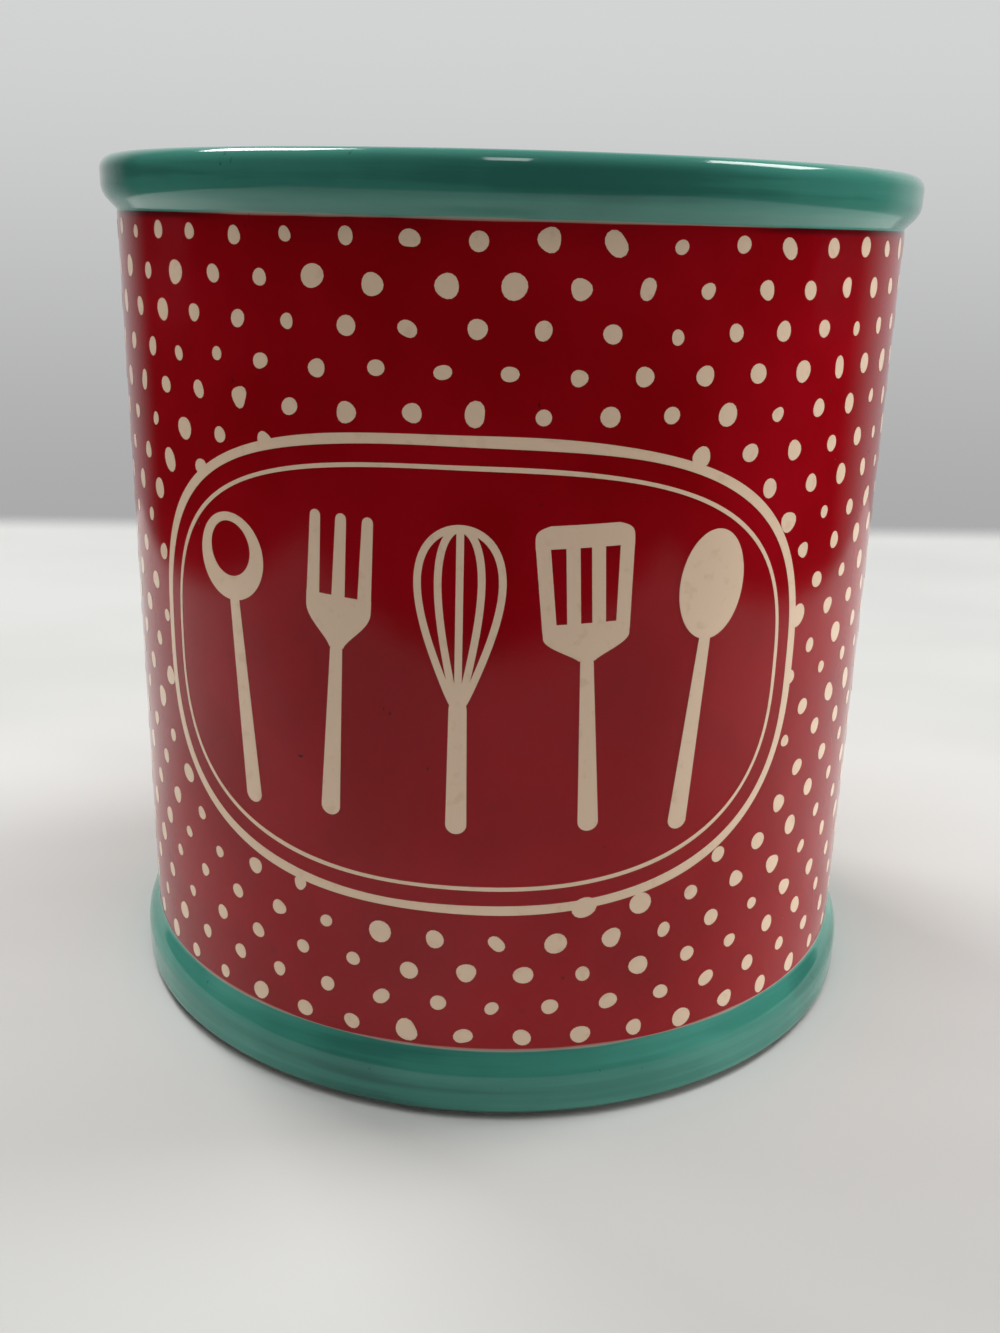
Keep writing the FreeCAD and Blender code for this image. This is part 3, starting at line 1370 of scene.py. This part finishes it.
@dataclass(frozen=True)
class Turner(RootedTool):
    """A slotted blade on a handle: a root, a top plate and four bars."""

    root_top: float = 10.5
    root_neck: float = 1.4
    root_spread: float = 5.9
    root_haste: float = 1.5
    root_power: float = 1.3
    plate_foot: float = 23.2
    plate_half: float = 8.2
    plate_round: float = 2.6
    plate_power: int = 6
    bar_foot: float = 8.0
    bar_top: float = 25.0
    bar_place: float = 2.1
    bar_width: float = 2.3
    side_place: float = 6.1
    side_lean: float = 0.95
    side_width: float = 2.4

    def drawn(self) -> list[Stroke]:
        """The root, the plate with its rounded corners, upright and leaning bars, and the handle.

        Returns:
            The strokes.
        """
        share = eased(self.count)
        half = self.plate_half - self.plate_round * share**self.plate_power
        plate = self.filled(self.plate_foot, self.half_height, half)
        bars = [self.upright(x, self.bar_foot, self.bar_top, self.bar_width, self.bar_width)
                for x in (-self.bar_place, self.bar_place)]
        across = self.side_place + self.side_lean * share
        up = self.bar_foot + (self.bar_top - self.bar_foot) * share
        width = np.full(self.count, self.side_width)
        sides = [brushed(np.stack([side * across, up], 1), width) for side in (-1, 1)]
        return [self.root(), plate, *bars, *sides, self.handle()]


@dataclass(frozen=True)
class PaintedFront:
    """The front: a ruled panel with a row of kitchen tools, in cream brush strokes."""

    wall: PaintedWall
    panel: Panel
    frame_width: float = 1.75 * MM
    inner_width: float = 0.75 * MM
    inner_inset: float = 4.2 * MM
    unevenness: float = 0.12
    swells: tuple[tuple[int, float], ...] = ((5, 0.6), (9, 2.1))
    columns: int = 7
    lift: float = 0.055 * MM
    lift_step: float = 0.002 * MM
    map_margin: float = 0.04
    tools: tuple[ToolDrawing, ...] = (
        Ladle((-42.0, -0.5), 5.0),
        Fork((-21.5, 1.2), -3.0),
        Whisk((0.0, 0.6), 0.0),
        Turner((21.5, 1.2), 3.0),
        Spoon((42.0, -0.5), -5.0),
    )

    def rule(self, inset: float, width: float) -> Stroke:
        """A line round the panel whose width swells and thins in slow waves, as from a brush.

        Args:
            inset: Distance inwards from the panel's outline.
            width: Mean width.

        Returns:
            The line.
        """
        path = self.panel.outline(inset)
        turn = np.linspace(0, FULL_TURN, len(path), endpoint=False)
        swell = np.mean([np.sin(waves * turn + phase) for waves, phase in self.swells], axis=0)
        return looped(path, width * (1 + self.unevenness * swell))

    def lay(self, work: Patchwork, stroke: Stroke, number: int, cells: int) -> None:
        """Lay one stroke on the wall as a thin closed shell.

        The grid's point at row i and column j is the left edge's point i, moved towards the right
        edge's by the share j over the last column. The top lies above the glaze by a lift that grows
        with the stroke's number, the back lies below the glaze, and a wall joins them round the edge.

        Args:
            work: The mesh in the making.
            stroke: The stroke.
            number: The stroke's number, which is also that of its cell of the map.
            cells: Number of cells along a side of the map.
        """
        share = np.linspace(0, 1, self.columns)[None, :, None]
        flat = stroke.left[:, None] * (1 - share) + stroke.right[:, None] * share
        across, up = flat[..., 0], flat[..., 1] + self.panel.level
        rows, columns = across.shape
        first = work.add_points(self.wall.wrap(across, up, self.lift + number * self.lift_step))
        behind = work.add_points(self.wall.wrap(across, up, -self.wall.sink)) - first
        last, end = rows if stroke.closed else rows - 1, columns - 1
        i, j = (grid.ravel() for grid in np.meshgrid(np.arange(last), np.arange(end), indexing="ij"))
        here, beyond = i * columns + j, (i + 1) % rows * columns + j
        top = np.stack([here + 1, beyond + 1, beyond, here], -1)
        corner = np.array([number % cells, number // cells])
        u, v = (i[:, None] + [0, 1, 1, 0]) / last, (j[:, None] + [1, 1, 0, 0]) / end
        place = (corner + self.map_margin + (1 - 2 * self.map_margin) * np.stack([u, v], -1)) / cells
        work.add_faces(first + top, place)
        work.add_faces(first + behind + top[:, ::-1], place[:, ::-1], False)
        at, after = np.arange(last) * columns, (np.arange(last) + 1) % rows * columns
        borders = [(after, at), (at + end, after + end)]
        if not stroke.closed:
            step, close = np.arange(end), (rows - 1) * columns
            borders += [(step, step + 1), (close + step + 1, close + step)]
        for one, other in borders:
            side = np.stack([one, behind + one, behind + other, other], -1)
            spot = np.broadcast_to((corner + self.map_margin / 2) / cells, (*side.shape, 2))
            work.add_faces(first + side, spot, False)

    def build(self, material: bpy.types.Material) -> None:
        """Paint the lines and the tools as one piece.

        Args:
            material: The paint.
        """
        strokes = [self.rule(0, self.frame_width), self.rule(self.inner_inset, self.inner_width)]
        for tool in self.tools:
            strokes.extend(tool.strokes())
        work = Patchwork()
        cells = math.ceil(math.sqrt(len(strokes)))
        for number, stroke in enumerate(strokes):
            self.lay(work, stroke, number, cells)
        work.piece("painted_front", material, Slot.CREAM)


# The stage


@dataclass(frozen=True)
class Table:
    """The cloth-covered table that the crock stands on."""

    front_edge: float = -0.375
    back_left: float = 0.380
    back_right: float = 0.512
    half_width: float = 0.43

    def build(self) -> None:
        """Lay one flat face at the level of the foot."""
        mesh = bpy.data.meshes.new("table")
        x, near = self.half_width, self.front_edge
        corners = [(-x, near, 0), (x, near, 0), (x, self.back_right, 0), (-x, self.back_left, 0)]
        mesh.from_pydata(corners, [], [(0, 1, 2, 3)])
        middle = (self.back_left + self.back_right) / 2
        slope = (self.back_right - self.back_left) / (2 * x)
        mesh.materials.append(TableCloth("table_cloth", near, x, middle, slope).material())
        table = bpy.data.objects.new("table", mesh)
        bpy.context.collection.objects.link(table)
        LOG.info("table: stage")


@dataclass(frozen=True)
class Softbox:
    """A square or oblong soft lamp; one that isn't mirrored shows in no gloss."""

    name: str
    place: tuple[float, float, float]
    width: float
    depth: float
    power: float
    mirrored: bool = True
    aim: tuple[float, float, float] = (0.0, 0.0, 0.09)
    colour: Colour = (1.0, 0.995, 0.98)

    def hang(self) -> None:
        """Hang the lamp at its place, turned to its aim."""
        light = bpy.data.lights.new(self.name, "AREA")
        light.shape = "RECTANGLE"
        light.size, light.size_y = self.width, self.depth
        light.energy = self.power
        light.color = self.colour
        lamp = bpy.data.objects.new(self.name, light)
        lamp.location = self.place
        lamp.visible_glossy = self.mirrored
        lamp.rotation_euler = (Vector(self.aim) - Vector(self.place)).to_track_quat("-Z", "Y").to_euler()
        bpy.context.collection.objects.link(lamp)


@dataclass(frozen=True)
class Room:
    """The light of the room: pale behind the crock, dim in front of it."""

    dim: Colour = (0.045, 0.044, 0.043)
    mirrored: Colour = (0.012, 0.012, 0.012)
    pale: Colour = (0.480, 0.475, 0.470)
    backdrop_low: Colour = (0.400, 0.400, 0.405)
    backdrop_high: Colour = (0.650, 0.655, 0.655)
    behind_span: Span = (0.45, 0.95)
    rise_span: Span = (-0.24, 0.16)

    def build(self) -> None:
        """Fill the world's nodes.

        Light that reaches the crock is dim from the front and pale from the back, and gloss mirrors
        the front darker. The camera, and gloss that mirrors what lies behind, see an even backdrop
        that grows paler with the height.
        """
        world = bpy.data.worlds.new("room")
        world.use_nodes = True
        bpy.context.scene.world = world
        tree = ShaderTree(world.node_tree)
        look = tree.node("ShaderNodeTexCoord", output="Generated")
        depth, rise = (tree.node("ShaderNodeSeparateXYZ", inputs={0: look}, output=axis) for axis in "YZ")
        behind = depth.step(*self.behind_span)
        backdrop = tree.mix(rise.step(*self.rise_span), self.backdrop_low, self.backdrop_high)
        camera, glossy, passing = (tree.node("ShaderNodeLightPath", output="Is %s Ray" % kind)
                                   for kind in ("Camera", "Glossy", "Transmission"))
        light = tree.mix(behind, tree.mix(glossy, self.dim, self.mirrored), self.pale)
        seen = camera.maths("MAXIMUM", passing).maths("MAXIMUM", glossy * behind)
        shader = tree.node("ShaderNodeBackground", inputs={"Color": tree.mix(seen, light, backdrop)})
        tree.node("ShaderNodeOutputWorld", inputs={"Surface": shader})


@dataclass(frozen=True)
class Viewpoint:
    """The photograph's camera: its place, its turns in radians and its focal length in pixels."""

    azimuth: float = math.radians(5.0)
    distance: float = 282.8 * MM
    height: float = 156.3 * MM
    pitch: float = 0.3236
    roll: float = 0.0267
    yaw: float = -0.0008
    focal_pixels: float = 1320.2
    near_clip: float = 10 * MM

    def build(self) -> None:
        """Make the camera and look through it."""
        camera = bpy.data.cameras.new("camera")
        camera.sensor_fit = "AUTO"
        camera.sensor_width = SENSOR_LONG_SIDE
        camera.lens = self.focal_pixels * SENSOR_LONG_SIDE / PHOTO_LONG_SIDE
        camera.clip_start = self.near_clip
        stand = bpy.data.objects.new("camera", camera)
        turned = Matrix.Rotation(self.azimuth, 4, "Z")
        pitched = Matrix.Rotation(math.pi / 2 - self.pitch, 4, "X")
        rolled = Matrix.Rotation(self.roll, 4, "Z")
        moved = Matrix.Translation((0, -self.distance, self.height))
        stand.matrix_world = turned @ moved @ Matrix.Rotation(self.yaw, 4, "Z") @ pitched @ rolled
        bpy.context.collection.objects.link(stand)
        bpy.context.scene.camera = stand


@dataclass(frozen=True)
class Studio:
    """Table, lamps, room and camera."""

    lamps: tuple[Softbox, ...] = (
        Softbox("left_lamp", (-0.77, 0.64, 1.35), 0.45, 0.52, 11.6),
        Softbox("right_lamp", (0.91, 0.40, 1.35), 0.50, 0.55, 8.8),
        Softbox("front_lamp", (0.06, -0.96, 1.35), 0.24, 0.50, 2.4),
        Softbox("overhead", (0.00, -0.28, 1.40), 0.9, 0.8, 9.2, mirrored=False),
        Softbox("left_side", (-1.9, 0.50, 0.15), 0.8, 0.3, 17.0, mirrored=False),
        Softbox("right_side", (1.9, 0.66, 0.18), 0.8, 0.3, 29.0, mirrored=False),
        Softbox("front_fill", (0.7, -1.0, 0.40), 0.7, 0.3, 1.6, mirrored=False),
    )

    def build(self) -> None:
        """Set up the stage and the view."""
        Table().build()
        for lamp in self.lamps:
            lamp.hang()
        Room().build()
        Viewpoint().build()
        bpy.context.scene.view_settings.view_transform = "Standard"


def main() -> None:
    """Build the crock, its paint and its stage."""
    logging.basicConfig(level=logging.INFO, format="%(name)s %(message)s")
    sizes = CrockSizes.from_frame()
    crock = Crock(sizes)
    crock.build()
    wall = PaintedWall(sizes.body_radius, crock.wall_waviness)
    panel = Panel()
    paint = CreamPaint("cream_paint").material()
    DotPattern(wall, panel).build(paint)
    PaintedFront(wall, panel).build(paint)
    Studio().build()


if __name__ == "__main__":
    main()
